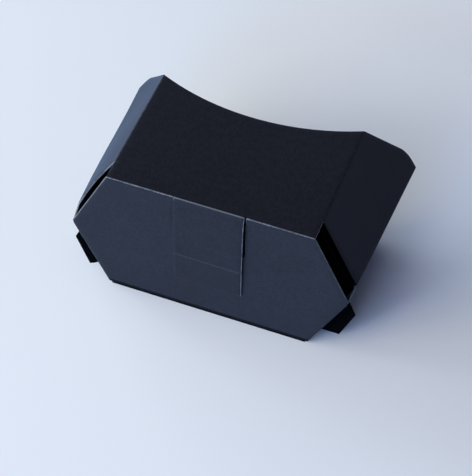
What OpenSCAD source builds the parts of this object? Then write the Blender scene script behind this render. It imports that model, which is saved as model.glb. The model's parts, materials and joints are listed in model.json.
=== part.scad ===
// Folded card viewer: a six-sided card sleeve with a phone bay behind a hinged
// front flap, a closing strap, a phone frame, a lens board with two lenses and
// a divider between the eyes. The sleeve stands on its bottom panel at z = 0.
// +X points right as seen from the front, and the open back faces +Y.

/* [Card] */
// Thickness of the card
card_t = 1; // [0.8:0.1:1.3]
// Gap at a crease between a turning leaf and the rounded fold it turns on
crease_gap = 0.2; // [0.1:0.05:0.3]
// Gap between a board's edge and the side panel next to it
edge_gap = 0.2; // [0.1:0.05:0.4]

/* [Sleeve] */
// Height of the sleeve over its top and bottom panels
sleeve_h = 89; // [84:1:96]
// Width of the top and bottom panels between their folds
panel_w = 118; // [112:1:124]
// Width across the two side creases at the front edge
front_w = 161; // [156:1:168]
// Width across the two side creases at the back, where the sleeve flares
back_w = 171; // [168:1:176]
// Depth of the top and bottom panels along their folds
fold_depth = 82; // [78:1:86]
// Depth of the side panels beside the crease
temple_depth = 107; // [100:1:112]
// Height of the straight stretch of the side panels' back edge, across the crease
temple_flat_h = 22; // [14:1:28]
// Radius that rounds the back corners of the side panels
temple_r = 7; // [4:0.5:10]
// How far the forehead curve dips into the top panel's back edge
forehead_dip = 13; // [8:0.5:14]
// How far the upper side panels' front edges stand back from the flap
upper_cut = 12; // [11:0.5:15]
// Height of the tongue of each lower side panel that runs forward beside the crease
tongue_h = 10; // [6:0.5:14]

/* [Nose notch] */
// Width of the nose notch at the bottom panel's back edge
nose_w = 58; // [50:1:64]
// Depth of the nose notch in the bottom panel
nose_depth = 25; // [20:0.5:26]
// Radius of the notch's rounded end
nose_r = 13; // [10:0.5:15]
// Width of the nose notch at the bottom edge of the lens boards
board_nose_w = 36; // [30:1:40]
// Height of the nose notch in the lens boards
board_nose_h = 22; // [16:0.5:24]
// Radius of the rounded top of the notch in the lens boards
board_nose_r = 6; // [4:0.5:8]

/* [Front flap] */
// Gap between the closed flap and the sleeve's front edges
flap_gap = 0.3; // [0.2:0.05:0.5]
// Depth of the notch in the flap's top edge, under the strap
notch_depth = 30; // [30:0.5:32]
// Room between the strap's edge and the side of that notch
notch_gap = 0.4; // [0.3:0.1:1]
// Radius of the notch's lower corners
notch_r = 2; // [1:0.5:3]

/* [Closing strap] */
// Width of the strap and of its pull tab
strap_w = 40; // [34:1:44]
// Length of the strap from the top fold to its crease
strap_len = 44; // [43:0.5:46]
// Length of the pull tab below the crease
tab_len = 21; // [16:0.5:24]
// Radius of the pull tab's lower corners
tab_r = 1.5; // [1:0.5:4]
// Thickness of each half of the hook and loop fastener
patch_t = 0.4; // [0.3:0.05:0.45]
// Gap between the hooks and the loops
patch_gap = 0.1; // [0.1:0.05:0.2]
// Width of the fastener patches
patch_w = 30; // [20:1:32]
// Height of the fastener patches
patch_h = 10; // [7:0.5:11]
// Card left between a patch and the crease below it
patch_margin = 2; // [1.5:0.5:3]

/* [Phone frame] */
// Depth of the phone bay in front of the phone frame
bay_depth = 9; // [8:0.5:10]
// Width of one window in the phone frame
window_w = 54; // [46:1:56]
// Height of the windows
window_h = 60; // [50:1:64]
// Corner radius of the windows
window_r = 5; // [2:0.5:8]
// Width of the bar between the two windows
bar_w = 12; // [8:0.5:16]
// How far an ear reaches past the sleeve's corner fold at its widest point
ear_reach = 23.4; // [22:0.1:25]
// How far the ear's upper corner stands back from its widest point
ear_slope = 4.5; // [3:0.5:7]
// Height of an ear's widest point
ear_wide_z = 22.8; // [20:0.2:25]
// Height of an ear's upper edge where it leaves the sleeve
ear_top_z = 33.4; // [32:0.2:34]
// Height of an ear's lower edge
ear_low_z = 2.5; // [2:0.5:5]
// How far an ear's lower corner reaches past the corner fold
ear_foot = 15.5; // [12:0.5:18]
// Length of the glue tabs folded from the frame and the lens board
tab_d = 12; // [8:0.5:13]
// Half width of the long glue tabs
tab_half_w = 45; // [36:1:50]
// Length that the glue tabs' ends are chamfered
tab_chamfer = 4; // [2:0.5:6]

/* [Lenses] */
// Distance between the two optical axes
lens_pitch = 64; // [60:0.5:66]
// Diameter of a lens over its rim
lens_d = 37; // [34:0.5:38]
// Width of the rim that the boards hold
rim_w = 1.9; // [1.5:0.1:2.4]
// Thickness of the rim
rim_t = 1.8; // [1.5:0.1:1.95]
// Focal length of a lens
lens_focal = 45; // [42:1:50]
// Thickness of the spacer board round the lens rims
core_t = 2; // [2:0.1:2.5]
// Distance from the front edge of the sleeve to the middle of the lens board
lens_depth = 52; // [48:0.5:54]
// Radial gap between a lens and the holes that hold it
lens_gap = 0.15; // [0.1:0.05:0.3]

/* [Divider and seam] */
// Width of the feet that glue the divider to the lens board
foot_w = 9; // [6:0.5:10]
// Height of the corner cut from the divider behind the nose
nose_corner_h = 25; // [22:0.5:28]
// Depth of the corner cut from the divider behind the nose
nose_corner_d = 14; // [8:0.5:18]
// Width of the glue flap inside the bottom panel
seam_w = 11; // [8:0.5:12]

/* [Hidden] */
$fn = 96;
eps = 0.01;
far = 400;
acrylic_index = 1.49;
card_colour = "#1b1d27";
card_lit = "#2e3848";
inner_colour = "#16181d";

// Heights and depths worked out from the driving sizes
mid_z = sleeve_h / 2;
inner_top_z = sleeve_h - card_t;
fold_r = card_t / 2;
leaf_gap = fold_r + crease_gap;
flap_back_y = -flap_gap;
flap_axis_y = flap_back_y - fold_r;
strap_back_y = flap_back_y - card_t - 2 * patch_t - patch_gap;
strap_axis_y = strap_back_y - fold_r;
frame_y = bay_depth;
lower_cut = frame_y + card_t + flap_gap;
board_front_y = lens_depth - core_t / 2 - card_t;
board_back_y = lens_depth + core_t / 2;
strap_crease_z = sleeve_h - strap_len;
lens_r = lens_d / 2;
clear_r = lens_r - rim_w;
middle_y = (strap_back_y - card_t + temple_depth) / 2;

// Half width of the sleeve at the side creases, at depth y
function crease_x(y) = (front_w + (back_w - front_w) * y / temple_depth) / 2;
// How far a side panel runs outwards between its fold and the crease, at depth y
function run(y) = crease_x(y) - panel_w / 2;
// Width of a side panel between its fold and the crease, at depth y
function slant(y) = norm([run(y), mid_z]);
// Half width at the inner face of a side panel, at height z and depth y
function wall_x(z, y) = crease_x(y) - abs(z - mid_z) * run(y) / mid_z - card_t * slant(y) / mid_z;
// Half width at the outer face of a side panel, at height z and depth y
function skin_x(z, y) = crease_x(y) - abs(z - mid_z) * run(y) / mid_z;
// Point where a line from p touches the circle of radius r round c, on its left
function touch(p, c, r) =
    let (d = p - c, a = atan2(d[1], d[0]) + acos(r / norm(d)))
    c + r * [cos(a), sin(a)];

// The mitre between the top panel and a side panel, taken at mid depth
mitre_w = card_t * tan(atan2(mid_z, run(temple_depth / 2)) / 2);
mitre = [-mitre_w, -card_t] / norm([mitre_w, card_t]);
function panel_in(y) = [-mid_z, -run(y)] / slant(y);
function mitre_point(y) = [panel_w / 2, sleeve_h] + mitre * card_t / (mitre * panel_in(y));

// Everything is placed with its overall box centred on x = 0, y = 0
module seated() translate([0, -middle_y, 0]) children();

// A plate in the x-z plane, from depth y0 to depth y1
module plate(y0, y1) translate([0, y1, 0]) rotate([90, 0, 0]) linear_extrude(y1 - y0) children();

// A plate in the x-y plane, from height z0 to height z1
module sheet(z0, z1) translate([0, 0, z0]) linear_extrude(z1 - z0) children();

// The same at the bottom of the sleeve as at its top, when flip is true
module mirrored_z(flip) translate([0, 0, flip ? sleeve_h : 0]) mirror([0, 0, flip ? 1 : 0]) children();

// Round-cornered rectangle centred on c
module round_rect(c, w, h, r) translate(c) {
    square([w - 2 * r, h], center = true);
    square([w, h - 2 * r], center = true);
    for (x = [-1, 1], y = [-1, 1]) translate([x * (w / 2 - r), y * (h / 2 - r)]) circle(r);
}

// Notch with a round end: it opens w wide at the edge v = 0 and its end is h away
module nose_notch(w, h, r) {
    side = touch([w / 2, 0], [0, h - r], r);
    translate([0, h - r]) circle(r);
    polygon([[-w / 2, 0], [-w / 2, -far / 8], [w / 2, -far / 8], [w / 2, 0], side, [-side[0], side[1]]]);
}

// Point on the edge of a board that stands inside the sleeve, at height z and depth y
function board_edge(z, y) = [wall_x(z, y) - edge_gap, z];

// Six-sided outline of a board at depth y, with ears of the given points on both sides
module board_outline(y, ear = []) {
    right = concat([board_edge(card_t, y)], ear, [board_edge(mid_z, y), board_edge(inner_top_z, y)]);
    last = len(right) - 1;
    polygon(concat(right, [for (i = [last:-1:0]) [-right[i][0], right[i][1]]]));
}

// The flat top or bottom of the sleeve, mitred along its two folds
module flat_panel(z_flip) {
    w = panel_w / 2;
    mirrored_z(z_flip) intersection() {
        plate(0, fold_depth) polygon([[-w, sleeve_h], [w, sleeve_h], [w - mitre_w, inner_top_z],
                                      [mitre_w - w, inner_top_z]]);
        sheet(inner_top_z - eps, sleeve_h + eps) children();
    }
}

module top_panel() {
    half = panel_w / 2;
    curve_r = (pow(half, 2) + pow(forehead_dip, 2)) / (2 * forehead_dip);
    color(card_colour) seated() {
        flat_panel(false) difference() {
            translate([-half, 0]) square([panel_w, fold_depth]);
            translate([0, fold_depth - forehead_dip + curve_r]) circle(curve_r, $fn = 360);
        }
        translate([-strap_w / 2, strap_axis_y, inner_top_z]) cube([strap_w, -strap_axis_y, card_t]);
        fold_bead(strap_w, strap_axis_y, sleeve_h - fold_r);
    }
}

// Rounded fold along x, on which a leaf turns
module fold_bead(w, y, z) translate([-w / 2, y, z]) rotate([0, 90, 0]) cylinder(r = fold_r, h = w);

module bottom_panel() {
    half = panel_w / 2;
    bead_w = panel_w - 2 * card_t;
    color(card_colour) seated() {
        flat_panel(true) difference() {
            translate([-half, 0]) square([panel_w, fold_depth]);
            translate([0, fold_depth]) mirror([0, 1]) nose_notch(nose_w, nose_depth, nose_r);
        }
        translate([-bead_w / 2, flap_axis_y, 0]) cube([bead_w, -flap_axis_y, card_t]);
        fold_bead(bead_w, flap_axis_y, fold_r);
    }
}

// Upper right side panel as a ruled surface between its fold and the crease
module side_skin() {
    steps = 24;
    depth = temple_depth;
    rings = [for (i = [0:steps]) let (y = depth * i / steps, m = mitre_point(y))
        [[panel_w / 2, y, sleeve_h], [crease_x(y), y, mid_z],
         [wall_x(mid_z, y), y, mid_z], [m[0], y, m[1]]]];
    points = [for (ring = rings) each ring];
    walls = [for (i = [0:steps - 1], k = [0:3])
        let (a = 4 * i + k, b = 4 * i + (k + 1) % 4)
        each [[b, a, b + 4], [b + 4, a, a + 4]]];
    last = 4 * steps;
    ends = [[0, 1, 2], [0, 2, 3], [last + 2, last + 1, last], [last + 3, last + 2, last]];
    polyhedron(points, concat(walls, ends));
}

// Side view of a side panel above the crease, as (y, z) points and a rounded corner
module side_outline(front_cut) {
    flat_z = mid_z + temple_flat_h / 2;
    corner = [temple_depth, flat_z];
    slope = [fold_depth, sleeve_h] - corner;
    turn = atan2(slope[1], slope[0]);
    back_off = temple_r / tan((270 - turn) / 2);
    centre = [temple_depth - temple_r, flat_z - back_off];
    rise = corner + back_off * slope / norm(slope);
    difference() {
        union() {
            polygon([[0, mid_z], [temple_depth, mid_z], [temple_depth, centre[1]], centre, rise,
                     [fold_depth, sleeve_h], [0, sleeve_h]]);
            intersection() {
                translate(centre) circle(temple_r);
                polygon([centre, [temple_depth, centre[1]], corner, rise]);
            }
        }
        if (front_cut == "upper") translate([-1, mid_z - 1]) square([upper_cut + 1, far]);
        if (front_cut == "lower") translate([-1, mid_z + tongue_h]) square([lower_cut + 1, far]);
    }
}

// One side panel: side is 1 for right and -1 for left
module side_panel(side, lower) {
    color(card_colour) seated() mirror([side < 0 ? 1 : 0, 0, 0]) mirrored_z(lower) intersection() {
        side_skin();
        rotate([90, 0, 90]) linear_extrude(far) side_outline(lower ? "lower" : "upper");
    }
}
module upper_left_panel() side_panel(-1, false);
module upper_right_panel() side_panel(1, false);
module lower_left_panel() side_panel(-1, true);
module lower_right_panel() side_panel(1, true);

// Outline of the glue flap along the left bottom fold, grown by gap on its free sides
module seam_outline(gap = 0) {
    x0 = seam_x();
    x1 = seam_w - x0 + gap;
    y0 = lower_cut - gap;
    y1 = fold_depth - card_t + gap;
    polygon([[-x0, y0], [-x0, y1], [x1, y1 - seam_w / 2], [x1, y0 + seam_w / 2]]);
}

// Glue flap on the inside of the bottom panel
function seam_x() = wall_x(card_t, 0) - edge_gap;
module seam_flap() {
    color(inner_colour) seated() sheet(card_t, 2 * card_t) seam_outline();
}

module front_flap() {
    z0 = fold_r + leaf_gap;
    x0 = skin_x(z0, 0);
    color(card_lit) seated() plate(flap_back_y - card_t, flap_back_y) difference() {
        polygon([[-x0, z0], [x0, z0], [front_w / 2, mid_z], [panel_w / 2, sleeve_h],
                 [-panel_w / 2, sleeve_h], [-front_w / 2, mid_z]]);
        round_rect([0, sleeve_h], strap_w + 2 * notch_gap, 2 * notch_depth, notch_r);
    }
}

// Fastener patch on the card whose face is at y, above the strap's crease
module patch(y) {
    plate(y - patch_t, y)
        round_rect([0, strap_crease_z + patch_margin + patch_h / 2], patch_w, patch_h, 1);
}
module loop_patch() color("#0d0e12") seated() patch(flap_back_y - card_t);
module hook_patch() color("#101116") seated() patch(strap_back_y + patch_t);

module closing_strap() {
    z0 = strap_crease_z;
    z1 = sleeve_h - fold_r - leaf_gap;
    color("#2a2e40") seated() {
        plate(strap_back_y - card_t, strap_back_y)
            translate([-strap_w / 2, z0]) square([strap_w, z1 - z0]);
        fold_bead(strap_w, strap_axis_y, z0);
    }
}

module pull_tab() {
    z1 = strap_crease_z - leaf_gap;
    h = tab_len - leaf_gap;
    color("#2a2e40") seated() plate(strap_back_y - card_t, strap_back_y) {
        round_rect([0, z1 - h / 2], strap_w, h, tab_r);
        translate([-strap_w / 2, z1 - h / 2]) square([strap_w, h / 2]);
    }
}

// Board behind the phone, with a window for each eye and an ear at each side
module phone_frame() {
    fold_x = panel_w / 2;
    ear = [board_edge(ear_low_z, frame_y), [fold_x + ear_foot, ear_low_z],
           [fold_x + ear_reach, ear_wide_z], [fold_x + ear_reach - ear_slope, ear_top_z],
           board_edge(ear_top_z, frame_y)];
    color(inner_colour) seated() plate(frame_y, frame_y + card_t) difference() {
        board_outline(frame_y, ear);
        for (s = [-1, 1])
            round_rect([s * (bar_w + window_w) / 2, mid_z], window_w, window_h, window_r);
    }
}

// Glue tab folded back from a board at depth y, between x0 and x1, clear of the seam flap
module glue_tab(y, x0, x1, z_flip) {
    color(inner_colour) seated() mirrored_z(z_flip) sheet(inner_top_z - card_t, inner_top_z)
        difference() {
            polygon([[x0, y], [x1, y], [x1, y + tab_d - tab_chamfer], [x1 - tab_chamfer, y + tab_d],
                     [x0 + tab_chamfer, y + tab_d], [x0, y + tab_d - tab_chamfer]]);
            if (z_flip) seam_outline(edge_gap);
        }
}
module frame_top_tab() glue_tab(frame_y + card_t, -tab_half_w, tab_half_w, false);
module frame_bottom_tab() glue_tab(frame_y + card_t, -tab_half_w, tab_half_w, true);
module lens_top_tab() glue_tab(board_back_y + card_t, -tab_half_w, tab_half_w, false);
module lens_left_tab() glue_tab(board_back_y + card_t, -tab_half_w, -board_nose_w / 2 - card_t, true);
module lens_right_tab() glue_tab(board_back_y + card_t, board_nose_w / 2 + card_t, tab_half_w, true);

// One layer of the lens board from depth y, t thick, with holes of radius r
module lens_layer(y, t, r) {
    color(inner_colour) seated() plate(y, y + t) difference() {
        board_outline(board_front_y);
        for (s = [-1, 1]) translate([s * lens_pitch / 2, mid_z]) circle(r);
        translate([0, card_t]) nose_notch(board_nose_w, board_nose_h, board_nose_r);
        translate([-panel_w, 0]) square([panel_w - seam_x() + seam_w + edge_gap, 2 * card_t + eps]);
    }
}
module lens_board_front() lens_layer(board_front_y, card_t, clear_r + lens_gap);
module lens_board_core() lens_layer(board_front_y + card_t, core_t, lens_r + lens_gap);
module lens_board_back() lens_layer(board_back_y, card_t, clear_r + lens_gap);

// Equal-sided convex lens with a flat rim
module lens(side) {
    surface_r = 2 * lens_focal * (acrylic_index - 1);
    edge = asin(clear_r / surface_r);
    cap = [for (i = [0:12]) let (a = edge * (1 - i / 12))
        [surface_r * sin(a), rim_t / 2 + surface_r * (cos(a) - cos(edge))]];
    half = concat([[lens_r, 0], [lens_r, rim_t / 2]], cap);
    color([0.85, 0.9, 0.95, 0.5]) seated()
        translate([side * lens_pitch / 2, lens_depth, mid_z]) rotate([-90, 0, 0]) rotate_extrude()
            polygon(concat([for (p = half) p], [for (i = [len(half) - 1:-1:1]) [half[i][0], -half[i][1]]]));
}
module left_lens() lens(-1);
module right_lens() lens(1);

// One leaf of the divider with the foot that is glued to the lens board
module divider_half(side) {
    y0 = frame_y + card_t;
    y1 = board_front_y;
    z0 = card_t;
    slot_h = card_t + edge_gap;
    foot_z = board_nose_h + 2 * card_t;
    color(inner_colour) seated() mirror([side < 0 ? 1 : 0, 0, 0]) {
        rotate([90, 0, 90]) linear_extrude(card_t)
            polygon([[y0, z0 + slot_h], [y0 + tab_d + edge_gap, z0 + slot_h], [y0 + tab_d + edge_gap, z0],
                     [y1 - nose_corner_d, z0], [y1, z0 + nose_corner_h], [y1, inner_top_z],
                     [y0 + tab_d + edge_gap, inner_top_z], [y0 + tab_d + edge_gap, inner_top_z - slot_h],
                     [y0, inner_top_z - slot_h]]);
        plate(y1 - card_t, y1) polygon([[card_t, foot_z + card_t], [foot_w, foot_z + foot_w],
                                        [foot_w, inner_top_z - foot_w / 2], [card_t, inner_top_z - card_t]]);
    }
}
module divider_left() divider_half(-1);
module divider_right() divider_half(1);

top_panel();
bottom_panel();
upper_left_panel();
upper_right_panel();
lower_left_panel();
lower_right_panel();
seam_flap();
front_flap();
loop_patch();
closing_strap();
hook_patch();
pull_tab();
phone_frame();
frame_top_tab();
frame_bottom_tab();
lens_board_front();
lens_board_core();
lens_board_back();
lens_top_tab();
lens_left_tab();
lens_right_tab();
left_lens();
right_lens();
divider_left();
divider_right();
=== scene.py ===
"""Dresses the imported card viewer: folded card, raw card edges, lenses and a plain studio."""
import json
import math

import bmesh
import bpy
from mathutils import Matrix, Vector

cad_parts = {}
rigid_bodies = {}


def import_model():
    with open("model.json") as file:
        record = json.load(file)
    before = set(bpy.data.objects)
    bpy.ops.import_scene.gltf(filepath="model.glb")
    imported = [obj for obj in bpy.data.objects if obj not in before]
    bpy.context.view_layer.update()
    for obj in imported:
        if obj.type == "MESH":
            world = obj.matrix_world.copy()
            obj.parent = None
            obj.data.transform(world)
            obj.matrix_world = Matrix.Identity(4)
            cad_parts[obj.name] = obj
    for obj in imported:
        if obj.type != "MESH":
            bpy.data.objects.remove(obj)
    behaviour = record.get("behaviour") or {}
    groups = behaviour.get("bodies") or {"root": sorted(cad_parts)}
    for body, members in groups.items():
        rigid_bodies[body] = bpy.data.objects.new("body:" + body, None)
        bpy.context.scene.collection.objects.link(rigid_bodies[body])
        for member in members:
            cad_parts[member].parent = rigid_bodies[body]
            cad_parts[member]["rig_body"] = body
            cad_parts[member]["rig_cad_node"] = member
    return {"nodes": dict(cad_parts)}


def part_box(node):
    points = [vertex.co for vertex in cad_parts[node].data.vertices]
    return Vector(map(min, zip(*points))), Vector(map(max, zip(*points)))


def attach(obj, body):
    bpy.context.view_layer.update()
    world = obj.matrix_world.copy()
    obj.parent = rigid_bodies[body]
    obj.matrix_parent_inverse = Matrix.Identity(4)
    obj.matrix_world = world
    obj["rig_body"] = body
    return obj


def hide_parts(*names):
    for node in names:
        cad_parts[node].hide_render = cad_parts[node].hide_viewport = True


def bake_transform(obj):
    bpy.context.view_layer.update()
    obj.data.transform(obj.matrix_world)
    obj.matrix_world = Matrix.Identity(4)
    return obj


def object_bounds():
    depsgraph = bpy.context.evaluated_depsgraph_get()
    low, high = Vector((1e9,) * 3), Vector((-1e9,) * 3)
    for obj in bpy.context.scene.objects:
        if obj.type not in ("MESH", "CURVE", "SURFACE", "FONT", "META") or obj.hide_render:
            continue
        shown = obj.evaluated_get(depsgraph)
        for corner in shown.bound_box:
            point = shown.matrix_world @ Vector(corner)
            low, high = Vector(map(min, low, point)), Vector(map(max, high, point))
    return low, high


bl_info = {
    "name": "Folded card viewer",
    "version": (1, 0, 0),
    "blender": (4, 5, 0),
    "location": "3D View > Sidebar > Card viewer",
    "description": "Models the card sleeve, flap, strap and lenses of a folded viewer",
    "category": "Object",
}

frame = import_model()
CAD_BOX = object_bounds()

MM = 0.001
NEAR = 0.05 * MM  # counts as on a line or a plane
TOUCH = 0.001 * MM  # counts as one point
HAIR = 1e-7  # smaller than any move that matters

SHARP = math.radians(50)  # folds sharper than this get a rounded edge
SMOOTH = math.radians(35)  # and flatter ones than this are shaded smooth
CAD_ROUND = 0.08 * MM  # rounding on the boards that keep the shape of their solids
STRAP_ARRIS = 0.28 * MM  # worn rounding along the strap and its pull tab
FACE, RIM, PAINTED_SHADE = 0, 1, 2  # material slots of card: its faces, its cut edges and its places painted dark as shade
STRAP_START = 0.3 * MM  # the strap starts this far in front of the sleeve's front edge
NAP_TINT = (0.35, 0.6, 1.0)  # colour of the bloom on the sleeve's fibres


def paint(code):
    """Scene-linear colour of a web colour such as #1b1d27."""
    parts = [int(code[i:i + 2], 16) / 255 for i in (1, 3, 5)]
    return tuple(p / 12.92 if p <= 0.04045 else ((p + 0.055) / 1.055) ** 2.4 for p in parts)


def node_size(node, axis):
    low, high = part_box(node)
    return high[axis] - low[axis]


def length(name, description, default):
    return bpy.props.FloatProperty(name=name, description=description, default=default,
                                   unit="LENGTH", precision=5)


def tint(name, description, code):
    return bpy.props.FloatVectorProperty(name=name, description=description, subtype="COLOR",
                                         size=3, min=0, max=1, default=paint(code))


class CardSizes(bpy.types.PropertyGroup):
    """Sizes of the folded card, in metres"""
    front_y: length("Front edge", "Where the sleeve's front edge stands",
                    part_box("phone_frame")[0].y - 9 * MM)
    card: length("Card", "Thickness of the card", node_size("front_flap", 1))
    height: length("Height", "Height of the sleeve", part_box("top_panel")[1].z)
    panel_w: length("Panel width", "Width of the top panel between its folds",
                    node_size("top_panel", 0))
    front_w: length("Front width", "Width across the side creases at the front", 161 * MM)
    back_w: length("Back width", "Width across the side creases at the back", 171 * MM)
    fold_depth: length("Fold depth", "Depth of the top panel along its folds", 82 * MM)
    temple_depth: length("Temple depth", "Depth of the side panels at the crease", 107 * MM)
    temple_flat: length("Temple edge", "Height of the side panels' straight back edge", 22 * MM)
    temple_r: length("Temple radius", "Radius of the side panels' back corners", 20 * MM)
    forehead_dip: length("Forehead curve", "How far the forehead curve dips into the top panel",
                         13 * MM)
    upper_cut: length("Upper cut", "How far the upper side panels stand back from the flap",
                      12 * MM)
    lower_cut: length("Lower cut", "How far the lower side panels stand back from the flap",
                      10.3 * MM)
    tongue_h: length("Tongue", "Height of the lower side panels' tongue beside the crease",
                     10 * MM)
    nose_w: length("Nose notch width", "Width of the nose notch at the back edge", 58 * MM)
    nose_depth: length("Nose notch depth", "Depth of the nose notch", 25 * MM)
    nose_r: length("Nose notch radius", "Radius of the nose notch's round end", 13 * MM)
    fold_r: length("Fold width", "How far a fold's rounding reaches into each panel", 0.8 * MM)
    strap_w: length("Strap width", "Width of the closing strap", node_size("closing_strap", 0))
    notch_depth: length("Flap notch", "Depth of the flap's notch under the strap", 30 * MM)
    # The fold band is painted dark: painted shade where the flap turns under
    fold_band: length("Fold band", "Height of the crushed dark band where the flap turns under",
                      1.9 * MM)
    left_bow: length("Left bow", "How far the left side crease bows out near the front", 1.6 * MM)
    left_swell: length("Left swell", "How far the upper left panel swells out near the front",
                       1.2 * MM)
    ear_bend: length("Ear bend", "How far the front board's left ear bends forward", 3.7 * MM)
    strap_bend: length("Strap bend", "Outer radius of the strap's fold at the top panel",
                       1.05 * MM)
    tab_r: length("Tab radius", "Radius of the pull tab's lower corners", 1.5 * MM)
    edge_round: length("Edge rounding", "Rounding of the card's cut edges", 0.12 * MM)


class CardColours(bpy.types.PropertyGroup):
    """Colours of the card, fasteners and stage"""
    card: tint("Card", "Dyed black card of the flap and strap", "#141822")
    card_lit: tint("Card fibres", "Paler fibres in the card's face", "#1e2331")
    # The sleeve's card is the flap's black card painted darker: painted shade on its top and right
    # panels
    sleeve: tint("Sleeve", "Dyed black card of the sleeve", "#0d0d13")
    sleeve_lit: tint("Sleeve fibres", "Paler fibres in the sleeve's face", "#171620")
    edge: tint("Raw edge", "Cut edge of the card", "#757a86")
    inner: tint("Inner card", "Card of the inner boards", "#040507")
    inner_lit: tint("Inner fibres", "Paler fibres of the inner boards", "#07080c")
    loop: tint("Loops", "Soft half of the fastener", "#0d0e12")
    hook: tint("Hooks", "Stiff half of the fastener", "#101116")
    acrylic: tint("Acrylic", "Clear lenses", "#eef3f6")
    floor: tint("Floor", "Studio floor", "#e4e4e9")


def sizes():
    return bpy.context.scene.card_sizes


def colour_of(name):
    return tuple(getattr(bpy.context.scene.card_colours, name))


# Modelling by operators

def begin(name):
    """Names the primitive just added, puts its place in its mesh and opens it for editing."""
    piece = bpy.context.object
    piece.name = piece.data.name = name
    bpy.ops.object.transform_apply(location=True, rotation=True, scale=True)
    bpy.ops.object.mode_set(mode="EDIT")
    return piece


def clear_selection():
    if bpy.context.object and bpy.context.object.mode != "OBJECT":
        bpy.ops.object.mode_set(mode="OBJECT")
    bpy.ops.object.select_all(action="DESELECT")


def select_only(piece):
    clear_selection()
    bpy.context.view_layer.objects.active = piece
    piece.select_set(True)


def centre(item):
    if isinstance(item, bmesh.types.BMVert):
        return item.co
    if isinstance(item, bmesh.types.BMEdge):
        return (item.verts[0].co + item.verts[1].co) / 2
    return item.calc_center_median()


def pick(kind, test):
    """Selects the VERT, EDGE or FACE items whose centre and self pass the test."""
    bpy.ops.mesh.select_mode(type=kind)
    bpy.ops.mesh.select_all(action="DESELECT")
    data = bpy.context.edit_object.data
    mesh = bmesh.from_edit_mesh(data)
    items = {"VERT": mesh.verts, "EDGE": mesh.edges, "FACE": mesh.faces}[kind]
    found = [item for item in items if test(centre(item), item)]
    for item in found:
        item.select_set(True)
    mesh.select_flush_mode()
    bmesh.update_edit_mesh(data)
    if not found:
        raise RuntimeError(f"nothing to select on {bpy.context.edit_object.name}")


def everything(point, item):
    return True


def cut(point, normal, test=everything):
    """Cuts the faces that pass the test along a plane."""
    pick("FACE", test)
    bpy.ops.mesh.bisect(plane_co=point, plane_no=normal)


def stretch(factors, middle, test):
    pick("VERT", test)
    bpy.ops.transform.resize(value=factors, center_override=middle)


def extrude(move):
    bpy.ops.mesh.extrude_region_move(TRANSFORM_OT_translate={"value": move})


def round_off(kind, width, steps):
    """Rounds the picked edges, or corners of a sheet."""
    bpy.ops.mesh.bevel(offset_type="OFFSET", offset=width, segments=steps, affect=kind)


def slide_each(target):
    """Slides each vertex of the open piece for which target gives a new place."""
    mesh = bmesh.from_edit_mesh(bpy.context.edit_object.data)
    moves = [(v.co.copy(), target(v.co)) for v in mesh.verts]
    for old, new in moves:
        if new is not None and (new - old).length > HAIR:
            pick("VERT", lambda p, v: (p - old).length < HAIR)
            bpy.ops.transform.translate(value=new - old)


def sheet_grid(name, x_range, z_range, y, columns, rows):
    """A grid of card in the x-z plane whose faces point at the viewer of the front, -Y."""
    (x0, x1), (z0, z1) = x_range, z_range
    clear_selection()
    bpy.ops.mesh.primitive_grid_add(x_subdivisions=columns, y_subdivisions=rows, size=1,
                                    location=((x0 + x1) / 2, y, (z0 + z1) / 2),
                                    rotation=(math.pi / 2, 0, 0))
    bpy.context.object.scale = (x1 - x0, z1 - z0, 1)
    return begin(name)


def edge_bevel(piece, width, material=-1):
    """Adds a modifier that rounds the piece's sharp edges."""
    edge = piece.modifiers.new("Edge", "BEVEL")
    edge.width, edge.segments, edge.material = width, 2, material
    edge.limit_method, edge.angle_limit = "ANGLE", SHARP
    edge.use_clamp_overlap = False
    return edge


def soften(piece, width, material=-1):
    edge = edge_bevel(piece, width, material)
    bpy.ops.object.modifier_apply(modifier=edge.name)
    bpy.ops.object.shade_smooth_by_angle(angle=SMOOTH)


def thicken(piece, thickness, face, rim, arris=None, worn=RIM):
    """Gives open card its thickness inwards and rounds its cut edges.

    The raw edge has its own finish, and worn is the slot of the rounded arrises, or -1 where
    each keeps that of its faces.
    """
    bpy.ops.object.mode_set(mode="OBJECT")
    piece.data.materials.append(face)
    piece.data.materials.append(rim)
    wall = piece.modifiers.new("Card", "SOLIDIFY")
    wall.thickness, wall.offset = thickness, -1
    wall.use_even_offset = True
    wall.material_offset_rim = RIM
    bpy.ops.object.modifier_apply(modifier=wall.name)
    soften(piece, arris or sizes().edge_round, worn)


def finish_faces(piece, slot, finish, test):
    """Puts the faces that pass the test, by centre and normal, on a material slot.

    A finish, where one is given, is added to the piece to fill that slot.
    """
    if finish:
        piece.data.materials.append(finish)
    for face in piece.data.polygons:
        if test(face.center, face.normal):
            face.material_index = slot


def ease(value, start, end):
    """Rises smoothly from 0 at start to 1 at end."""
    t = min(1, max(0, (value - start) / (end - start)))
    return t * t * (3 - 2 * t)


def swell(piece, name, direction, strength, weight):
    """Pushes open card along an axis or its normals by strength times weight.

    The weight is a function of a vertex's place.
    """
    bpy.ops.object.mode_set(mode="OBJECT")
    group = piece.vertex_groups.new(name=name)
    for vertex in piece.data.vertices:
        group.add([vertex.index], weight(vertex.co), "REPLACE")
    push = piece.modifiers.new(name, "DISPLACE")
    push.direction, push.strength, push.mid_level = direction, strength, 0
    push.vertex_group = name
    bpy.ops.object.modifier_apply(modifier=name)
    piece.vertex_groups.clear()


def trim(piece):
    """Flattens what rounding pushed past the CAD box back onto it."""
    bpy.ops.object.mode_set(mode="EDIT")
    for limits, side in zip(CAD_BOX, (-1, 1)):
        for axis in range(3):
            def past(p):
                return (p[axis] - limits[axis]) * side > HAIR / 10
            mesh = bmesh.from_edit_mesh(piece.data)
            if any(past(v.co) for v in mesh.verts):
                flat = [float(i != axis) for i in range(3)]
                stretch(flat, limits, lambda p, v: past(p))
    bpy.ops.object.mode_set(mode="OBJECT")


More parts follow.
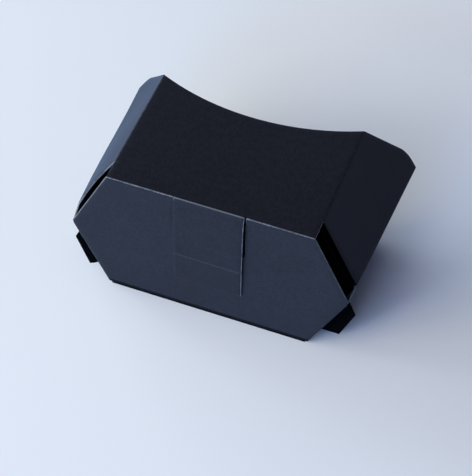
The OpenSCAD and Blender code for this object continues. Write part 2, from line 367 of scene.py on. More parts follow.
def hand_over(piece, body, slot, *nodes):
    """Declares what the piece rides on and the nodes that it stands for. The slot is not used."""
    clear_selection()
    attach(piece, body)
    if nodes:
        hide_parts(*nodes)


def bend_over(piece, node):
    """Bakes the leaf's place into its mesh and hides the node that it stands for."""
    clear_selection()
    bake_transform(piece)
    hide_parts(node)


# Shader maths

class Wire:
    """A shader socket that takes part in Python arithmetic."""

    def __init__(self, graph, socket):
        self.graph, self.socket = graph, socket

    def _maths(self, operation, *values):
        return self.graph.node("ShaderNodeMath", {"operation": operation}, dict(enumerate(values)))

    def __add__(self, other):
        return self._maths("ADD", self, other)

    def __sub__(self, other):
        return self._maths("SUBTRACT", self, other)

    def __rsub__(self, other):
        return self._maths("SUBTRACT", other, self)

    def __mul__(self, other):
        return self._maths("MULTIPLY", self, other)

    def __abs__(self):
        return self._maths("ABSOLUTE", self)

    __radd__ = __add__
    __rmul__ = __mul__

    def low(self, other):
        return self._maths("MINIMUM", self, other)

    def high(self, other):
        return self._maths("MAXIMUM", self, other)

    def ramp(self, start, end):
        """0 below start and 1 above end, or the other way round, smooth between."""
        return self.graph.node("ShaderNodeMapRange", {"interpolation_type": "SMOOTHSTEP"},
                               {"Value": self, "From Min": start, "From Max": end})


class Graph:
    """The nodes of a material or of the world, under construction."""

    def __init__(self, owner):
        owner.use_nodes = True
        self.tree = owner.node_tree
        self.tree.nodes.clear()

    def node(self, kind, settings=None, inputs=None, output=0):
        """Adds a node with its settings and with the values or links of its sockets."""
        made = self.tree.nodes.new(kind)
        for key, value in (settings or {}).items():
            setattr(made, key, value)
        for key, value in (inputs or {}).items():
            socket = made.inputs[key]
            if isinstance(value, Wire):
                self.tree.links.new(value.socket, socket)
            elif isinstance(value, tuple) and socket.type == "RGBA":
                socket.default_value = (*value, 1)
            else:
                socket.default_value = value
        return Wire(self, made.outputs[output])

    def show(self, kind, shader):
        """Links the shader to an output node of that kind."""
        out = self.tree.nodes.new(kind)
        self.tree.links.new(shader.socket, out.inputs["Surface"])


class Finish(Graph):
    """A material under construction."""

    def __init__(self, name):
        self.material = bpy.data.materials.new(name)
        super().__init__(self.material)

    def where(self):
        return self.node("ShaderNodeTexCoord", output="Object")

    def place(self, scale=(1, 1, 1)):
        return self.node("ShaderNodeMapping", {}, {"Vector": self.where(), "Scale": scale})

    def axes(self):
        """The point's x, y and z in metres."""
        where = self.where()
        return [self.node("ShaderNodeSeparateXYZ", {}, {0: where}, output=i) for i in range(3)]

    def noise(self, scale, detail, roughness, squash=(1, 1, 1)):
        return self.node("ShaderNodeTexNoise", {},
                         {"Vector": self.place(squash), "Scale": scale, "Detail": detail,
                          "Roughness": roughness})

    def mix(self, factor, first, second):
        return self.node("ShaderNodeMix", {"data_type": "RGBA"},
                         {0: factor, 6: first, 7: second}, output=2)

    def bump(self, height, distance, strength, under=None):
        inputs = {"Height": height, "Distance": distance, "Strength": strength}
        if under is not None:
            inputs["Normal"] = under
        return self.node("ShaderNodeBump", {}, inputs)

    def surface(self, **inputs):
        named = {key.replace("_", " "): value for key, value in inputs.items()}
        self.show("ShaderNodeOutputMaterial", self.node("ShaderNodeBsdfPrincipled", {}, named))
        return self.material


def shaded(colour, share):
    return tuple(min(1, part * share) for part in colour)


def card_finish(name, base, fibre, wear_and_highlight=None, gloss=0.11, rough=0.46, nap=0.0, ior=1.5):
    """Dyed matt card with fine mottle, felt-side tooth, faint waves, and folds paled partly by
    wear and partly as painted highlight.

    The folds are paled, partly by wear and partly as painted highlight, where the given mask
    function gives a mask, and nap is the bloom of the card's fibres at grazing angles.
    """
    f = Finish(name)
    mottle = f.noise(260, 5, 0.6)
    cloud = f.noise(28, 3, 0.5)
    fibres = f.noise(900, 3, 0.65, squash=(1, 0.35, 1))
    tone = (mottle * 0.3 + cloud * 0.15 + fibres * 0.55).ramp(0.34, 0.68)
    colour = f.mix(tone, base, fibre)
    rough = rough + mottle * 0.1 + cloud * 0.08
    if wear_and_highlight:
        # Paled folds: partly wear, partly painted highlight, mixed towards the raw edge's grey
        wear_and_highlight_mask = wear_and_highlight(fibres, *f.axes())
        colour = f.mix(wear_and_highlight_mask, colour, colour_of("edge"))
        rough = rough + wear_and_highlight_mask * 0.12
    waves = f.bump(f.noise(22, 2, 0.4), 0.5 * MM, 0.5)
    tooth = f.bump(mottle * 0.5 + fibres * 0.5, 0.06 * MM, 0.5, waves)
    return f.surface(Base_Color=colour, Roughness=rough, Normal=tooth, Specular_IOR_Level=gloss,
                     IOR=ior, Sheen_Weight=nap, Sheen_Roughness=0.35, Sheen_Tint=NAP_TINT)


def sleeve_wear_and_highlight(fibres, x, y, z):
    """Wear along the sleeve's folds, with painted highlight that makes it a little more on the
    left, where the light falls.
    """
    s = sizes()
    far_x, far_z = abs(x), abs(z - s.height / 2)
    fold = abs(far_x - s.panel_w / 2).high(s.height / 2 - far_z)
    grow = (s.back_w - s.front_w) / s.temple_depth / 2
    side = abs(far_x - (y - s.front_y) * grow - s.front_w / 2).high(far_z)
    # Painted highlight: the folds are paled more on the left, the lit side
    strength = x.ramp(30 * MM, -30 * MM) * 0.12 + 0.06
    return fold.low(side).ramp(0.9 * MM, 0.1 * MM) * fibres.ramp(0.35, 0.7) * strength


def flap_wear_and_highlight(fibres, x, y, z):
    """Wear along the flap's upper sloping edges, with painted highlight that makes it more on the
    left one, which faces the light.
    """
    s = sizes()
    slope = (s.front_w - s.panel_w) / s.height
    side = s.front_w / 2 - abs(z - s.height / 2) * slope - abs(x)
    upper = z.ramp(s.height / 2 - 5 * MM, s.height / 2 + 5 * MM)
    # Painted highlight: stronger on the left slope, the lit side
    strength = x.ramp(20 * MM, -20 * MM) * 0.24 + 0.06
    return side.ramp(1.0 * MM, 0.2 * MM) * fibres.ramp(0.2, 0.6) * (upper * strength)


def flap_liner_and_shade(x, y, z):
    """The dyed liner on the back of the flap's card, and painted shade that makes the edge duller
    towards the right.
    """
    liner = (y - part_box("front_flap")[0].y).ramp(0.55 * MM, 0.72 * MM)
    # Painted shade: the cut edge darkens towards the right, away from the light
    return liner.high(x.ramp(0, 60 * MM) * 0.35)


def strap_wear_and_highlight(fibres, x, y, z):
    """Painted highlight, partly wear, on the strap's fold at the top panel, and a little at its
    crease.
    """
    s = sizes()
    fold = abs(y - s.front_y + s.strap_bend).high(abs(z - s.height))
    crease = abs(z - strap_crease())
    return fold.ramp(0.55 * MM, 0.15 * MM) * 0.68 + crease.ramp(0.6 * MM, 0.1 * MM) * 0.1


def edge_finish(name, liner=None):
    """Cut edge of the card: compressed pale fibre, and the dyed liner, with any painted shade,
    where liner gives a mask.
    """
    f = Finish(name)
    dark = colour_of("card_lit")
    fibres = f.noise(1400, 4, 0.7)
    blotch = f.noise(160, 3, 0.5)
    pale = (fibres * 0.6 + blotch * 0.4).ramp(0.35, 0.62)
    colour = f.mix(pale, dark, colour_of("edge"))
    if liner:
        colour = f.mix(liner(*f.axes()), colour, dark)
    return f.surface(Base_Color=colour, Roughness=0.75 + blotch * 0.15,
                     Normal=f.bump(fibres, 0.05 * MM, 0.6))


def tape_finish(f, colour, height, depth):
    """Fastener tape whose raised parts catch more light."""
    shade = f.mix(height.ramp(0.3, 0.8), colour, shaded(colour, 2.2))
    return f.surface(Base_Color=shade, Roughness=0.85 - height * 0.15,
                     Normal=f.bump(height, depth, 0.8))


def loop_finish(name):
    """A nap of soft loops."""
    f = Finish(name)
    height = f.noise(2200, 3, 0.7) * 0.5 + f.noise(420, 2, 0.6) * 0.5
    return tape_finish(f, colour_of("loop"), height, 0.35 * MM)


def hook_finish(name):
    """Rows of tiny stiff hooks."""
    f = Finish(name)
    dots = f.node("ShaderNodeTexVoronoi", {"feature": "F1"},
                  {"Vector": f.place(), "Scale": 900, "Randomness": 0.15})
    return tape_finish(f, colour_of("hook"), 1 - dots.ramp(0.1, 0.5), 0.3 * MM)


def acrylic_finish(name):
    """Clear moulded acrylic with a faint haze."""
    f = Finish(name)
    haze = f.noise(700, 3, 0.5)
    clear = colour_of("acrylic")
    return f.surface(Base_Color=f.mix(haze.ramp(0.3, 0.8), clear, shaded(clear, 0.97)),
                     Roughness=0.02 + haze * 0.03, IOR=1.49, Transmission_Weight=1.0)


def floor_finish(name):
    """Matt pale studio paper, painted a little paler and bluer behind the viewer: a painted pool
    of light over its shadow.
    """
    f = Finish(name)
    colour = colour_of("floor")
    drift = f.noise(2.2, 2, 0.5)
    grain = f.noise(420, 4, 0.6)
    tone = f.mix(drift.ramp(0.3, 0.7) * 0.6 + grain * 0.2, shaded(colour, 0.975), colour)
    # Painted light: a soft round patch behind the viewer, where its shadow falls, is painted paler
    # and bluer
    away = f.node("ShaderNodeVectorMath", {"operation": "DISTANCE"},
                  {0: f.where(), 1: (50 * MM, 100 * MM, 0)}, output="Value")
    painted_fill_light = tuple(part * share for part, share in zip(colour, (1.09, 1.12, 1.17)))
    tone = f.mix(away.ramp(125 * MM, 40 * MM), tone, painted_fill_light)
    return f.surface(Base_Color=tone, Roughness=0.7 + grain * 0.1,
                     Normal=f.bump(grain, 0.05 * MM, 0.3))


MADE = {}


def finishes():
    """All materials by name, made once."""
    if not MADE:
        base, lit = colour_of("card"), colour_of("card_lit")
        MADE["card"] = card_finish("black_card", colour_of("sleeve"), colour_of("sleeve_lit"),
                                   sleeve_wear_and_highlight, gloss=0.05, nap=0.17)
        MADE["flap"] = card_finish("flap_card", base, lit, flap_wear_and_highlight)
        # The strap is the flap's card painted a tenth darker: painted shade
        MADE["strap"] = card_finish("strap_card", shaded(base, 0.9), shaded(lit, 0.9), strap_wear_and_highlight)
        # A darker copy of the flap's card: painted shade along the flap's fold
        MADE["crushed"] = card_finish("crushed_card", shaded(base, 0.35), shaded(lit, 0.35),
                                      gloss=0.03)
        MADE["inner"] = card_finish("inner_card", colour_of("inner"), colour_of("inner_lit"),
                                    gloss=0.0, rough=0.6, ior=1.0)
        MADE["edge"] = edge_finish("raw_card_edge")
        MADE["flap_edge"] = edge_finish("raw_flap_edge", flap_liner_and_shade)
        MADE["loop"] = loop_finish("loop_fabric")
        MADE["hook"] = hook_finish("hook_tape")
        MADE["acrylic"] = acrylic_finish("clear_acrylic")
        MADE["floor"] = floor_finish("studio_floor")
    return MADE


# Sizes that follow from the others

def strap_crease():
    """Height of the crease between the strap and its pull tab."""
    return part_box("closing_strap")[0].z + sizes().card / 2


def crease_x(y):
    """Half width at the side creases, y metres behind the sleeve's front edge."""
    s = sizes()
    return (s.front_w + (s.back_w - s.front_w) * y / s.temple_depth) / 2


def skin_x(y, z):
    """Half width of the sleeve's skin at that depth and height."""
    s = sizes()
    slant = abs(z - s.height / 2) / (s.height / 2)
    return crease_x(y) - slant * (crease_x(y) - s.panel_w / 2)


def forehead_end(x):
    """Depth of the top panel's back edge, an arc that dips towards the middle."""
    s = sizes()
    half = s.panel_w / 2
    radius = (half ** 2 + s.forehead_dip ** 2) / (2 * s.forehead_dip)
    return s.fold_depth - s.forehead_dip + radius - math.sqrt(max(0, radius ** 2 - x ** 2))


def nose_end(x):
    """Depth of the bottom panel's back edge, with a notch of straight sides and a round end."""
    s = sizes()
    half, r, reach = s.nose_w / 2, s.nose_r, s.nose_depth - s.nose_r
    if abs(x) >= half:
        return s.fold_depth
    away = math.hypot(half, reach)
    turn = math.atan2(-reach, half) + math.acos(r / away)
    touch_x, touch_v = r * math.cos(turn), reach + r * math.sin(turn)
    if abs(x) <= touch_x:
        return s.fold_depth - reach - math.sqrt(r ** 2 - x ** 2)
    return s.fold_depth - touch_v * (half - abs(x)) / (half - touch_x)


def temple_end(z):
    """Depth of a side panel's back edge at height z: straight, round corner, then a slope."""
    s = sizes()
    rise = abs(z - s.height / 2)
    corner, run = s.temple_flat / 2, s.fold_depth - s.temple_depth
    climb = s.height / 2 - corner
    turn = math.atan2(climb, run)
    back = s.temple_r / math.tan((math.radians(270) - turn) / 2)
    level = corner - back
    slope_from = corner + back * climb / math.hypot(run, climb)
    if rise <= level:
        return s.temple_depth
    if rise >= slope_from:
        return s.temple_depth + run * (rise - corner) / climb
    return s.temple_depth - s.temple_r + math.sqrt(max(0, s.temple_r ** 2 - (rise - level) ** 2))


# The pieces, one operator for each piece or group of like pieces

class CARDVIEWER_OT_sleeve(bpy.types.Operator):
    """Fold the six-sided sleeve out of one sheet of card"""
    bl_idname = "cardviewer.sleeve"
    bl_label = "Card sleeve"

    def execute(self, context):
        s = sizes()
        mid, half, depth, front = s.height / 2, s.panel_w / 2, s.temple_depth, s.front_y
        end_cuts, side_cuts, fold_steps = 31, 22, 4
        under_reach = 0.8 * MM  # how far the bottom panel reaches in under the flap's fold

        def on_crease(p):
            return abs(p.z - mid) < MM

        def at_front(p):
            return p.y < front + MM

        # A six-sided tube, pulled out to its width
        clear_selection()
        bpy.ops.mesh.primitive_cylinder_add(
            vertices=6, radius=mid, depth=depth, end_fill_type="NOTHING",
            location=(0, front + depth / 2, mid), rotation=(math.pi / 2, math.pi / 6, 0))
        piece = begin("sleeve")
        middle = (0, front, mid)
        stretch((half / (mid / 2), 1, 1 / math.sin(math.radians(60))), middle,
                lambda p, v: not on_crease(p))
        stretch((s.front_w / 2 / mid, 1, 1), middle,
                lambda p, v: on_crease(p) and at_front(p))
        stretch((s.back_w / 2 / mid, 1, 1), middle,
                lambda p, v: on_crease(p) and not at_front(p))

        # Cuts for the strap, the flap's fold and the side panels' set-back fronts
        pick("EDGE", lambda p, e: abs(e.verts[0].co.y - e.verts[1].co.y) < NEAR)
        bpy.ops.mesh.subdivide(number_cuts=end_cuts)
        for x in (-s.strap_w / 2, s.strap_w / 2):
            cut((x, 0, 0), (1, 0, 0), lambda p, f: p.z > s.height - NEAR)
        for x in (-half + s.card, half - s.card):
            cut((x, 0, 0), (1, 0, 0), lambda p, f: p.z < NEAR)
        for y in (s.upper_cut, s.lower_cut):
            cut((0, front + y, 0), (0, 1, 0))
        pick("FACE", lambda p, f: NEAR < abs(p.z - mid) < mid - NEAR and (
            p.z > mid and p.y < front + s.upper_cut
            or p.z < mid - s.tongue_h and p.y < front + s.lower_cut))
        bpy.ops.mesh.delete(type="FACE")

        def back_place(p):
            if p.y < front + depth - NEAR:
                return None
            if p.z > s.height - NEAR:
                return Vector((p.x, front + forehead_end(p.x), p.z))
            if p.z < NEAR:
                return Vector((p.x, front + nose_end(p.x), p.z))
            y = temple_end(p.z)
            return Vector((math.copysign(skin_x(y, p.z), p.x), front + y, p.z))

        slide_each(back_place)
        pick("EDGE", lambda p, e: abs(e.verts[0].co.y - e.verts[1].co.y) > 30 * MM)
        bpy.ops.mesh.subdivide(number_cuts=side_cuts)

        def on_fold(p):
            return (abs(abs(p.z - mid) - mid) < NEAR and abs(abs(p.x) - half) < NEAR
                    or abs(p.z - mid) < NEAR and abs(abs(p.x) - crease_x(p.y - front)) < NEAR)

        pick("EDGE", lambda p, e: len(e.link_faces) == 2 and all(on_fold(v.co) for v in e.verts))
        round_off("EDGES", s.fold_r, fold_steps)
        for z, reach, half_w in ((s.height, STRAP_START, s.strap_w / 2),
                                 (0, under_reach, half - s.card)):
            pick("EDGE", lambda p, e: len(e.link_faces) == 1 and abs(p.z - z) < NEAR
                 and abs(p.y - front) < NEAR and abs(p.x) < half_w + NEAR)
            extrude((0, -reach, 0))

        # The left side bows out a little, strongest near the front
        def rise(p):
            return 1 - abs(p.z - mid) / mid

        def full_at(p, none, full):
            return ease(p.y, front + none * MM, front + full * MM)

        swell(piece, "bow", "X", -s.left_bow,
              lambda p: (p.x < 0) * rise(p) * full_at(p, 0, 14) * full_at(p, 100, 25))
        swell(piece, "swell", "NORMAL", s.left_swell,
              lambda p: (p.x < 0 and p.z > mid) * math.sin(math.pi * rise(p)) * full_at(p, 90, 15))
        thicken(piece, s.card, finishes()["card"], finishes()["edge"], worn=-1)
        # Painted shade: the cut edge inside the right notch gets the near-black inner card; along
        # the top panel's front the cut edge keeps the face finish, so no pale raw edge shows
        finish_faces(piece, PAINTED_SHADE, finishes()["inner"],
                     lambda p, n: p.x > half - MM and p.z > mid and abs(n.y) > 0.5
                     and p.y < front + s.upper_cut + MM)
        finish_faces(piece, FACE, None,
                     lambda p, n: p.z > s.height - 1.5 * MM and p.y < front + 0.2 * MM)
        trim(piece)
        hand_over(piece, "viewer", "black_card", "top_panel", "bottom_panel", "upper_left_panel",
                  "upper_right_panel", "lower_left_panel", "lower_right_panel")
        return {"FINISHED"}


class CARDVIEWER_OT_fold(bpy.types.Operator):
    """Round the fold that the flap turns on"""
    bl_idname = "cardviewer.fold"
    bl_label = "Flap fold"

    def execute(self, context):
        s = sizes()
        width, radius, ahead = s.panel_w - 2 * s.card, s.card / 2, 0.95 * MM
        clear_selection()
        bpy.ops.mesh.primitive_cylinder_add(
            vertices=32, radius=radius, depth=width, rotation=(0, math.pi / 2, 0),
            location=(0, s.front_y - ahead, radius))
        piece = begin("flap_fold")
        pick("EDGE", lambda p, e: abs(abs(p.x) - width / 2) < NEAR)
        round_off("EDGES", 0.1 * MM, steps=2)
        bpy.ops.object.mode_set(mode="OBJECT")
        bpy.ops.object.shade_smooth_by_angle(angle=SMOOTH)
        # Painted shade: the fold gets the near-black inner card, a dark line under the flap
        piece.data.materials.append(finishes()["inner"])
        hand_over(piece, "viewer", "black_card")
        return {"FINISHED"}


class CARDVIEWER_OT_flap(bpy.types.Operator):
    """Cut the six-sided front flap with its notch under the strap"""
    bl_idname = "cardviewer.flap"
    bl_label = "Front flap"

    def execute(self, context):
        s = sizes()
        low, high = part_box("front_flap")
        columns, rows, half = 40, 36, s.panel_w / 2
        left_gap, right_gap, arris = 0.15 * MM, 0.9 * MM, 0.14 * MM
        around = 3 * MM  # the cuts end this far from what they are made for
        slope_from = half - 5 * MM
        piece = sheet_grid("front_flap", (-half, half), (low.z, high.z), low.y, columns, rows)
        for k in range(rows + 1):
            z = low.z + (high.z - low.z) * k / rows
            stretch((skin_x(0, z) / half, 1, 1), (0, low.y, z), lambda p, v: abs(p.z - z) < NEAR)
        fold_top = low.z + s.fold_band
        cut((0, 0, fold_top), (0, 0, 1), lambda p, f: p.z < fold_top + around)
        notch_z = s.height - s.notch_depth
        left, right = -s.strap_w / 2 - left_gap, s.strap_w / 2 + right_gap

        def by_notch(p, f):
            return p.z > notch_z - around and left - around < p.x < right + around

        for x in (left, right):
            cut((x, 0, 0), (1, 0, 0), by_notch)
        cut((0, 0, notch_z), (0, 0, 1), by_notch)
        pick("FACE", lambda p, f: p.z > notch_z and left < p.x < right)
        bpy.ops.mesh.delete(type="FACE")
        thicken(piece, s.card, finishes()["flap"], finishes()["flap_edge"], arris)
        # Painted shade: the right slope's front arris keeps the dark face finish with no pale raw
        # edge, and the band where the card folds under is painted dark
        finish_faces(piece, FACE, None,
                     lambda p, n: p.x > slope_from and n.x > 0.2 and n.y < -0.5)
        finish_faces(piece, PAINTED_SHADE, finishes()["crushed"],
                     lambda p, n: p.z < fold_top and n.y < 0.5)
        hand_over(piece, "flap", "black_card", "front_flap")
        return {"FINISHED"}


class CARDVIEWER_OT_strap(bpy.types.Operator):
    """Bend the closing strap over the top panel's front edge and down the flap"""
    bl_idname = "cardviewer.strap"
    bl_label = "Closing strap"

    def execute(self, context):
        s = sizes()
        low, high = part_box("closing_strap")
        front, top, bend, crease = s.front_y, s.height, s.strap_bend, strap_crease()
        straight_top, fold_ahead, arc_steps = crease + 31 * MM, 0.1 * MM, 7
        # How far out from the front edge and how far down from the top the card hangs, in mm
        hang = ((3.19, 11.5), (3.14, 9.5), (3.03, 7.5), (2.86, 5.5), (2.62, 3.8), (2.3, 2.2))
        piece = sheet_grid("closing_strap", (low.x, high.x), (crease + NEAR, straight_top),
                           low.y, columns=16, rows=16)
        hub = Vector((0, front - bend + fold_ahead, top - bend))
        turns = [math.pi / 2 * i / arc_steps for i in range(arc_steps + 1)]
        path = [Vector((0, low.y, straight_top))]
        path += [Vector((0, front - out * MM, top - down * MM)) for out, down in hang]
        path += [hub + bend * Vector((0, -math.cos(turn), math.sin(turn))) for turn in turns]
        path.append(Vector((0, front - STRAP_START, top)))
        for here, there in zip(path, path[1:]):
            pick("EDGE", lambda p, e: len(e.link_faces) == 1 and abs(p.y - here.y) < NEAR / 5
                 and abs(p.z - here.z) < NEAR / 5
                 and abs(e.verts[0].co.x - e.verts[1].co.x) > NEAR)
            extrude(there - here)
        thicken(piece, s.card, finishes()["strap"], finishes()["edge"], STRAP_ARRIS)
        # Where the card only folds no raw edge shows, and along the left edge the front arris
        # keeps the dark face finish: painted shade
        finish_faces(piece, FACE, None,
                     lambda p, n: p.z < crease + 0.25 * MM or p.y > front - 0.7 * MM
                     or p.x < low.x + 0.4 * MM and n.y < -0.5)
        trim(piece)
        bend_over(piece, "closing_strap")
        return {"FINISHED"}


class CARDVIEWER_OT_strap_shadow(bpy.types.Operator):
    """Put a near-black sheet on the strap's back where it lies over the flap's notch, reaching
    past the strap's right edge: a painted shadow of the strap
    """
    bl_idname = "cardviewer.lining"
    bl_label = "Strap lining"

    def execute(self, context):
        s = sizes()
        half, black = s.strap_w / 2, finishes()["inner"]
        inner_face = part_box("closing_strap")[0].y + s.card
        flap_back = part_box("front_flap")[1].y
        above_patch, below_top = 1.2 * MM, 4.5 * MM
        lower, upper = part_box("hook_patch")[1].z + above_patch, s.height - below_top
        left_lap, right_lap, arris = 0.1 * MM, 0.8 * MM, 0.1 * MM
        lip = (0, 0.9 * MM, 2.7 * MM)  # its upper edge leans back with the strap
        piece = sheet_grid("strap_lining", (-half - left_lap, half + right_lap), (lower, upper),
                           inner_face, columns=12, rows=8)
        pick("EDGE", lambda p, e: p.z > upper - NEAR)
        extrude(lip)
        # Painted shadow: the near-black sheet shows as a dark line beside the strap
        thicken(piece, flap_back - inner_face, black, black, arris)
        hand_over(piece, "strap", "inner_card")
        return {"FINISHED"}


class CARDVIEWER_OT_tab(bpy.types.Operator):
    """Cut the pull tab that goes on below the strap's crease"""
    bl_idname = "cardviewer.tab"
    bl_label = "Pull tab"

    def execute(self, context):
        s = sizes()
        low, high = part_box("pull_tab")
        crease, lean, bend_reach = strap_crease(), 0.6 * MM, 1.2 * MM
        piece = sheet_grid("pull_tab", (low.x, high.x), (low.z, crease), low.y,
                           columns=16, rows=16)
        pick("VERT", lambda p, v: p.z < low.z + NEAR and abs(abs(p.x) - high.x) < NEAR)
        round_off("VERTICES", s.tab_r, steps=6)
        for share in (0.25, 0.5, 0.75):
            cut((0, 0, crease - bend_reach * share), (0, 0, 1))
        heights = sorted({round(v.co.z, 7) for v in bmesh.from_edit_mesh(piece.data).verts})
        for z in heights:
            drop = (crease - z) / (crease - low.z)
            if drop > 0:
                pick("VERT", lambda p, v: abs(p.z - z) < TOUCH)
                bpy.ops.transform.translate(value=(0, lean * drop, 0))
        thicken(piece, s.card, finishes()["strap"], finishes()["edge"], STRAP_ARRIS)
        # In front, the raw edge shows only along the right side
        finish_faces(piece, FACE, None,
                     lambda p, n: p.z > crease - 0.25 * MM
                     or p.x < high.x - 0.4 * MM and n.y < -0.5)
        bend_over(piece,
                  "pull_tab")
        return {"FINISHED"}


class CARDVIEWER_OT_board(bpy.types.Operator):
    """Bend the left ear of the board behind the flap forward, as a weight on it leaves it"""
    bl_idname = "cardviewer.board"
    bl_label = "Front board"

    def execute(self, context):
        s = sizes()
        node, low = frame["nodes"]["phone_frame"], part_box("phone_frame")[0]
        select_only(node)
        bpy.ops.object.duplicate()
        piece = context.object
        piece.parent = None
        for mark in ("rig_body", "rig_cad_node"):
            del piece[mark]
        piece.name = piece.data.name = "phone_board"
        bpy.ops.object.mode_set(mode="EDIT")
        pick("VERT", everything)
        bpy.ops.mesh.remove_doubles(threshold=TOUCH)

        # The ear is bent across its slope, from its root at the top panel's corner outwards
        mid, half = s.height / 2, s.panel_w / 2
        out_x = crease_x(low.y - s.front_y) - half
        ear_reach, bend_reach, slant = 12.8 * MM, 11 * MM, 6 * MM
        away = Vector((-mid, 0, -out_x)).normalized()
        along = Vector((-out_x, 0, mid)).normalized()
        root = Vector((-half, 0, 0))

        def out(p):
            return (p - root) @ away

        for reach in (0, 2, 4, 6, 8, 10):
            cut(root + away * reach * MM, away, lambda p, f: p.x < -half)
        foot = min(v.co.z for v in bmesh.from_edit_mesh(piece.data).verts
                   if v.co.x < -half - 8 * MM)

        def slanted(p):
            if p.x < -half and abs(p.z - foot) < NEAR and out(p) > -1.5 * MM:
                return p + along * slant * (1 - max(0, out(p)) / ear_reach)

        def bent(p):
            if p.x < -half and p.z < mid:
                return p - Vector((0, s.ear_bend * ease(out(p), 0, bend_reach), 0))

        slide_each(slanted)
        slide_each(bent)
        bpy.ops.object.mode_set(mode="OBJECT")
        piece.data.materials.clear()
        piece.data.materials.append(finishes()["inner"])
        soften(piece, CAD_ROUND)
        hand_over(piece, "viewer", "inner_card", "phone_frame")
        return {"FINISHED"}


class CARDVIEWER_OT_lenses(bpy.types.Operator):
    """Spin the two clear lenses with their flat rims"""
    bl_idname = "cardviewer.lenses"
    bl_label = "Lenses"

    def execute(self, context):
        surface_r, rim_r, rim_t, clear_r = 44.1 * MM, 18.5 * MM, 1.8 * MM, 16.6 * MM
        bevel, cap_steps, spin_steps = 0.15 * MM, 16, 96
        edge = math.asin(clear_r / surface_r)
        turns = [edge * (1 - i / cap_steps) for i in range(cap_steps + 1)]
        cap = [(surface_r * math.sin(turn),
                rim_t / 2 + surface_r * (math.cos(turn) - math.cos(edge))) for turn in turns]
        half = [(rim_r, 0), (rim_r, rim_t / 2 - bevel), (rim_r - bevel, rim_t / 2)] + cap
        profile = [(r, -y) for r, y in reversed(half[1:])] + half
        for name in ("left_lens", "right_lens"):
            low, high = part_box(name)
            hub = (low + high) / 2
            clear_selection()
            bpy.ops.mesh.primitive_plane_add(size=MM, location=hub)
            piece = begin(name)
            bpy.ops.mesh.merge(type="CENTER")
            bpy.ops.transform.translate(value=(*profile[0], 0))
            for (r0, y0), (r1, y1) in zip(profile, profile[1:]):
                extrude((r1 - r0, y1 - y0, 0))
            pick("EDGE", everything)
            bpy.ops.mesh.spin(steps=spin_steps, angle=2 * math.pi, center=hub, axis=(0, 1, 0))
            pick("VERT", everything)
            bpy.ops.mesh.remove_doubles(threshold=2 * TOUCH)
            bpy.ops.mesh.normals_make_consistent(inside=False)
            bpy.ops.object.mode_set(mode="OBJECT")
            bpy.ops.object.shade_smooth_by_angle(angle=SMOOTH)
            piece.data.materials.append(finishes()["acrylic"])
            hand_over(piece, "viewer", "clear_acrylic", name)
        return {"FINISHED"}


class CARDVIEWER_OT_inside(bpy.types.Operator):
    """Round the edges of the inner boards and patches and give them their finish"""
    bl_idname = "cardviewer.inside"
    bl_label = "Inner boards"

    def execute(self, context):
        own = {"loop_patch": "loop", "hook_patch": "hook"}
        for name, node in frame["nodes"].items():
            if node.hide_render:
                continue
            select_only(node)
            weld = node.modifiers.new("Weld", "WELD")
            weld.merge_threshold = TOUCH
            edge_bevel(node, CAD_ROUND)
            node.data.materials.clear()
            node.data.materials.append(finishes()[own.get(name, "inner")])
        return {"FINISHED"}


# The studio, in degrees, metres and watts, with the lens in millimetres

# Name, azimuth, elevation, and the watts of red, green and blue of each soft lamp
LAMPS = (
    ("left_window", -90, 18, (80, 88, 99)),
    ("front_left_window", -45, 15, (154, 154, 134)),
    ("front_bounce", -15, 15, (43, 72, 108)),
    ("front_high", -10, 40, (10, 11, 26)),
    ("back_left_bounce", -120, 15, (51, 60, 62)),
    ("high_left", -60, 55, (20, 19, 11)),
    ("ceiling", 0, 89, (11, 9, 6)),
)
LAMP_AWAY, LAMP_SIZE = 3.6, 2.4
FLOOR_R, FLOOR_DROP = 3.4, 0.05 * MM
ROOM_LIGHT, ROOM_STRENGTH = (0.19, 0.4, 1.0), 0.085
BACKDROP = (0.78, 0.83, 0.9)

TARGET = Vector((0.0038, -0.0190, 0.0284))
CAMERA_AZIMUTH, CAMERA_RISE, CAMERA_ROLL = 19.08, 49.863, 1.897
CAMERA_AWAY, CAMERA_LENS, SENSOR_W = 1.0421, 140.334, 36


def direction(azimuth, rise):
    """Unit vector towards a lamp or camera that is seen from the object at these angles."""
    a, e = math.radians(azimuth), math.radians(rise)
    return Vector((math.sin(a) * math.cos(e), -math.cos(a) * math.cos(e), math.sin(e)))


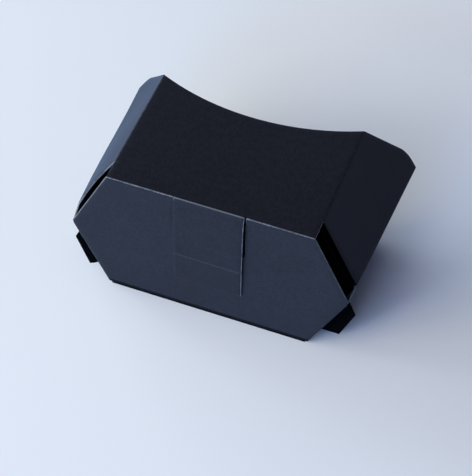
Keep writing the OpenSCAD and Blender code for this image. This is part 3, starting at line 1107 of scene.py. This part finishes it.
class CARDVIEWER_OT_stage(bpy.types.Operator):
    """Lay the floor, hang the lamps and set the camera"""
    bl_idname = "cardviewer.stage"
    bl_label = "Stage"

    def execute(self, context):
        scene = context.scene
        clear_selection()
        bpy.ops.mesh.primitive_circle_add(vertices=96, radius=FLOOR_R, fill_type="NGON",
                                          location=(0, 0, -FLOOR_DROP))
        floor = context.object
        floor.name = "studio_floor"
        floor.data.materials.append(finishes()["floor"])

        for name, azimuth, rise, watts in LAMPS:
            towards = direction(azimuth, rise)
            clear_selection()
            bpy.ops.object.light_add(type="AREA", location=towards * LAMP_AWAY)
            lamp = context.object
            lamp.name = name
            lamp.data.shape, lamp.data.size, lamp.data.energy = "SQUARE", LAMP_SIZE, max(watts)
            lamp.data.color = [part / max(watts) for part in watts]
            lamp.rotation_euler = towards.to_track_quat("Z", "Y").to_euler()

        # A dim blue room lights the card, and a pale backdrop is what shows of it
        scene.world = bpy.data.worlds.new("Studio")
        room = Graph(scene.world)
        shown = [room.node("ShaderNodeLightPath", output=f"Is {kind} Ray")
                 for kind in ("Camera", "Glossy", "Transmission")]
        light = room.node("ShaderNodeBackground", {},
                          {"Color": ROOM_LIGHT, "Strength": ROOM_STRENGTH})
        backdrop = room.node("ShaderNodeBackground", {}, {"Color": BACKDROP, "Strength": 1})
        room.show("ShaderNodeOutputWorld",
                  room.node("ShaderNodeMixShader", {},
                            {0: shown[0].high(shown[1]).high(shown[2]), 1: light, 2: backdrop}))

        bpy.ops.object.camera_add()
        camera = context.object
        camera.name = "photo_camera"
        back, right = direction(CAMERA_AZIMUTH, CAMERA_RISE), direction(CAMERA_AZIMUTH + 90, 0)
        turn = Matrix((right, back.cross(right), back)).transposed()
        turn = turn @ Matrix.Rotation(math.radians(CAMERA_ROLL), 3, "Z")
        camera.matrix_world = Matrix.Translation(TARGET + back * CAMERA_AWAY) @ turn.to_4x4()
        camera.data.lens, camera.data.sensor_width = CAMERA_LENS, SENSOR_W
        camera.data.clip_start, camera.data.clip_end = 0.05, 50
        scene.camera = camera
        scene.view_settings.view_transform = "Standard"
        return {"FINISHED"}


OPERATORS = (CARDVIEWER_OT_sleeve, CARDVIEWER_OT_fold, CARDVIEWER_OT_flap, CARDVIEWER_OT_strap,
             CARDVIEWER_OT_strap_shadow, CARDVIEWER_OT_tab, CARDVIEWER_OT_board, CARDVIEWER_OT_lenses,
             CARDVIEWER_OT_inside, CARDVIEWER_OT_stage)


class CARDVIEWER_PT_panel(bpy.types.Panel):
    """Lists the pieces of the card viewer"""
    bl_idname = "CARDVIEWER_PT_panel"
    bl_label = "Card viewer"
    bl_space_type = "VIEW_3D"
    bl_region_type = "UI"
    bl_category = "Card viewer"

    def draw(self, context):
        for group in (context.scene.card_sizes, context.scene.card_colours):
            for key in group.__annotations__:
                self.layout.prop(group, key)
        for made in OPERATORS:
            self.layout.operator(made.bl_idname)


CLASSES = (CardSizes, CardColours, *OPERATORS, CARDVIEWER_PT_panel)


def register():
    for made in CLASSES:
        bpy.utils.register_class(made)
    bpy.types.Scene.card_sizes = bpy.props.PointerProperty(type=CardSizes)
    bpy.types.Scene.card_colours = bpy.props.PointerProperty(type=CardColours)


def unregister():
    del bpy.types.Scene.card_sizes
    del bpy.types.Scene.card_colours
    for made in reversed(CLASSES):
        bpy.utils.unregister_class(made)


def main():
    register()
    for made in OPERATORS:
        group, name = made.bl_idname.split(".")
        getattr(getattr(bpy.ops, group), name)()


if __name__ == "__main__":
    main()
